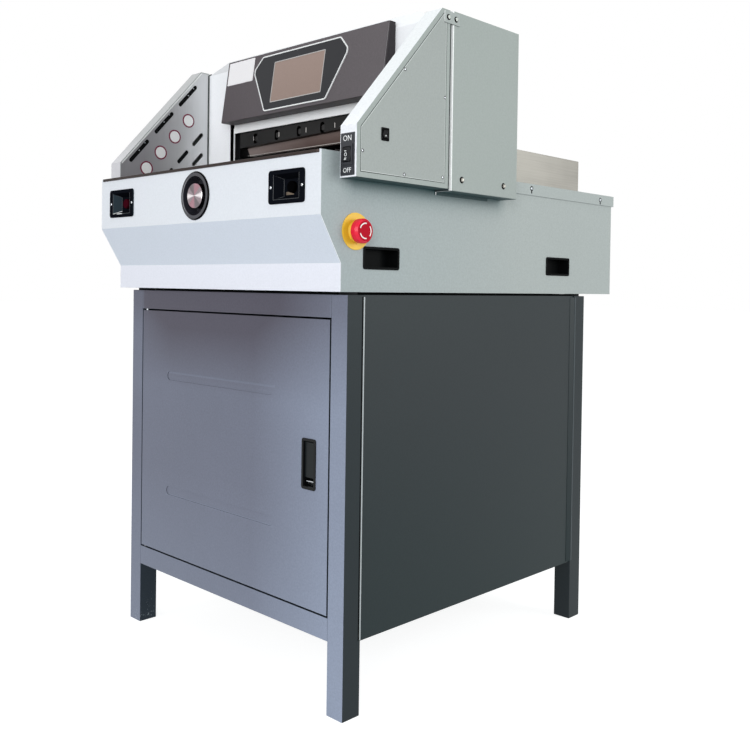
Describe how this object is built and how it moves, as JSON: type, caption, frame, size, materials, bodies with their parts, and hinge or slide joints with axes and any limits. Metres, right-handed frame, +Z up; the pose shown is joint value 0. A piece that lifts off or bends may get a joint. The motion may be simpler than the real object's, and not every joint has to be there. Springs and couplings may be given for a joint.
{
  "type": "electric paper cutter",
  "caption": "Electric guillotine paper cutter with a table body, portal housing, slanting knife, clamp and driven back gauge, on a cabinet stand with a hinged door.",
  "frame": {"origin": "middle of the overall footprint, on the floor under the feet", "axes": "+Z up, -Y towards the operator at the front, +X to the operator's right"},
  "size_m": [0.7604, 0.872, 1.1986],
  "materials": {
    "white_paint": "satin powder coat",
    "grey_paint": "satin powder coat",
    "graphite_paint": "fine texture powder coat",
    "panel_paint": "satin paint",
    "hood_steel": "brushed stainless sheet",
    "frame_iron": "machined, dark",
    "table_steel": "ground",
    "guard_steel": "brushed",
    "blade_steel": "ground and honed",
    "carrier_paint": "black oxide",
    "bright_steel": "bright",
    "gauge_aluminium": "machined",
    "clamp_black": "machined, black anodised",
    "black_plastic": "moulded, fine grain",
    "black_gloss": "moulded, gloss",
    "screen_gloss": "matt film over glass",
    "red_plastic": "moulded, gloss",
    "yellow_plastic": "moulded, satin",
    "stick_plastic": "extruded nylon",
    "pad_rubber": "moulded",
    "motor_paint": "enamel"
  },
  "bodies": {
    "machine": {"stand_legs": "graphite_paint", "stand_rails": "graphite_paint", "left_cabinet_panel": "graphite_paint", "right_cabinet_panel": "graphite_paint", "rear_cabinet_panel": "graphite_paint", "cabinet_floor": "graphite_paint", "body_pads": "pad_rubber", "door_hinge_pins": "bright_steel", "front_fascia": "white_paint", "left_side_plate": "grey_paint", "right_side_plate": "grey_paint", "rear_plate": "grey_paint", "bottom_pan": "grey_paint", "carry_handles": "black_plastic", "front_table": "table_steel", "rear_table": "table_steel", "cutting_stick": "stick_plastic", "rear_lid": "grey_paint", "button_plates": "black_plastic", "dial_bezel": "black_gloss", "estop_legend": "yellow_plastic", "right_front_cover": "grey_paint", "left_front_cover": "grey_paint", "guard_plates": "guard_steel", "hatch_plates": "grey_paint", "rear_side_covers": "grey_paint", "cover_links": "grey_paint", "cover_fasteners": "bright_steel", "switch_plate": "black_plastic", "side_switch_frame": "black_plastic", "portal_cover": "white_paint", "guard_bar": "white_paint", "panel_housing": "panel_paint", "panel_bezel": "black_gloss", "touch_screen": "screen_gloss", "gauge_hood": "hood_steel", "machine_frame": "frame_iron", "drive_gearmotor": "motor_paint", "gauge_rails": "bright_steel", "gauge_motor": "motor_paint"},
    "door": {"cabinet_door": "graphite_paint", "door_handle_cup": "black_plastic"},
    "latch": {"door_latch_paddle": "black_plastic"},
    "estop": {"estop_stem": "black_plastic"},
    "estop_head": {"estop_mushroom": "red_plastic"},
    "left_button": {"left_cut_button": "red_plastic"},
    "right_button": {"right_cut_button": "black_gloss"},
    "dial": {"dial_knob": "bright_steel"},
    "power_rocker": {"main_rocker": "black_gloss"},
    "lamp_rocker": {"side_rocker": "black_gloss"},
    "knife": {"knife_carrier": "carrier_paint", "blade": "blade_steel", "blade_bolts": "carrier_paint", "pull_bar": "carrier_paint"},
    "lever": {"drive_lever": "carrier_paint"},
    "clamp": {"clamp_beam": "clamp_black", "clamp_spindle": "bright_steel"},
    "worm_wheel": {"clamp_nut": "frame_iron"},
    "gauge": {"back_gauge": "gauge_aluminium"},
    "screw": {"lead_screw": "bright_steel"}
  },
  "joints": [
    {"name": "door_hinge", "type": "hinge", "parent": "machine", "child": "door", "pos_m": [-0.2651, -0.369, 0.1624], "axis": [0, 0, -1], "range_deg": [0, 105]},
    {"name": "latch_pull", "type": "hinge", "parent": "door", "child": "latch", "pos_m": [0.25415, -0.3715, 0.4394], "axis": [-1, 0, 0], "range_deg": [0, 40], "stiffness_Nm_per_rad": 0.1},
    {"name": "estop_press", "type": "slide", "parent": "machine", "child": "estop", "axis": [-1, 0, 0], "range_m": [0, 0.0045]},
    {"name": "estop_twist", "type": "hinge", "parent": "estop", "child": "estop_head", "pos_m": [0.34, -0.3572, 0.7902], "axis": [-1, 0, 0], "range_deg": [0, 45], "stiffness_Nm_per_rad": 0.05},
    {"name": "left_button_press", "type": "slide", "parent": "machine", "child": "left_button", "axis": [0, 1, 0], "range_m": [0, 0.004], "stiffness_N_per_m": 300},
    {"name": "right_button_press", "type": "slide", "parent": "machine", "child": "right_button", "axis": [0, 1, 0], "range_m": [0, 0.004], "stiffness_N_per_m": 300},
    {"name": "dial_turn", "type": "hinge", "parent": "machine", "child": "dial", "pos_m": [0, -0.433, 0.861], "axis": [0, -1, 0], "continuous": true},
    {"name": "power_rocker_tilt", "type": "hinge", "parent": "machine", "child": "power_rocker", "pos_m": [0.357, -0.39085, 0.908], "axis": [1, 0, 0], "range_deg": [-10, 10]},
    {"name": "lamp_rocker_tilt", "type": "hinge", "parent": "machine", "child": "lamp_rocker", "pos_m": [0.37475, -0.3302, 0.9453], "axis": [0, 1, 0], "range_deg": [-10, 10]},
    {"name": "knife_slide", "type": "slide", "parent": "machine", "child": "knife", "axis": [-0.4589, 0, -0.8885], "range_m": [0, 0.0784]},
    {"name": "lever_swing", "type": "hinge", "parent": "machine", "child": "lever", "pos_m": [0.24474, -0.1536, 0.7576], "axis": [0, 1, 0], "range_deg": [0, 100]},
    {"name": "clamp_slide", "type": "slide", "parent": "machine", "child": "clamp", "axis": [0, 0, -1], "range_m": [0, 0.07]},
    {"name": "worm_wheel_spin", "type": "hinge", "parent": "machine", "child": "worm_wheel", "pos_m": [0, -0.1166, 1.056], "axis": [0, 0, 1], "range_deg": [0, 2521]},
    {"name": "gauge_slide", "type": "slide", "parent": "machine", "child": "gauge", "axis": [0, 1, 0], "range_m": [-0.262, 0.117]},
    {"name": "lead_screw_spin", "type": "hinge", "parent": "machine", "child": "screw", "pos_m": [0, -0.0946, 0.875], "axis": [0, -1, 0], "range_deg": [-4718, 2107]}
  ],
  "couplings": [
    {"joint": "lever_swing", "follows": "knife_slide", "rad_per_m": 22.248},
    {"joint": "worm_wheel_spin", "follows": "clamp_slide", "rad_per_m": 628.32},
    {"joint": "lead_screw_spin", "follows": "gauge_slide", "rad_per_m": 314.16}
  ]
}
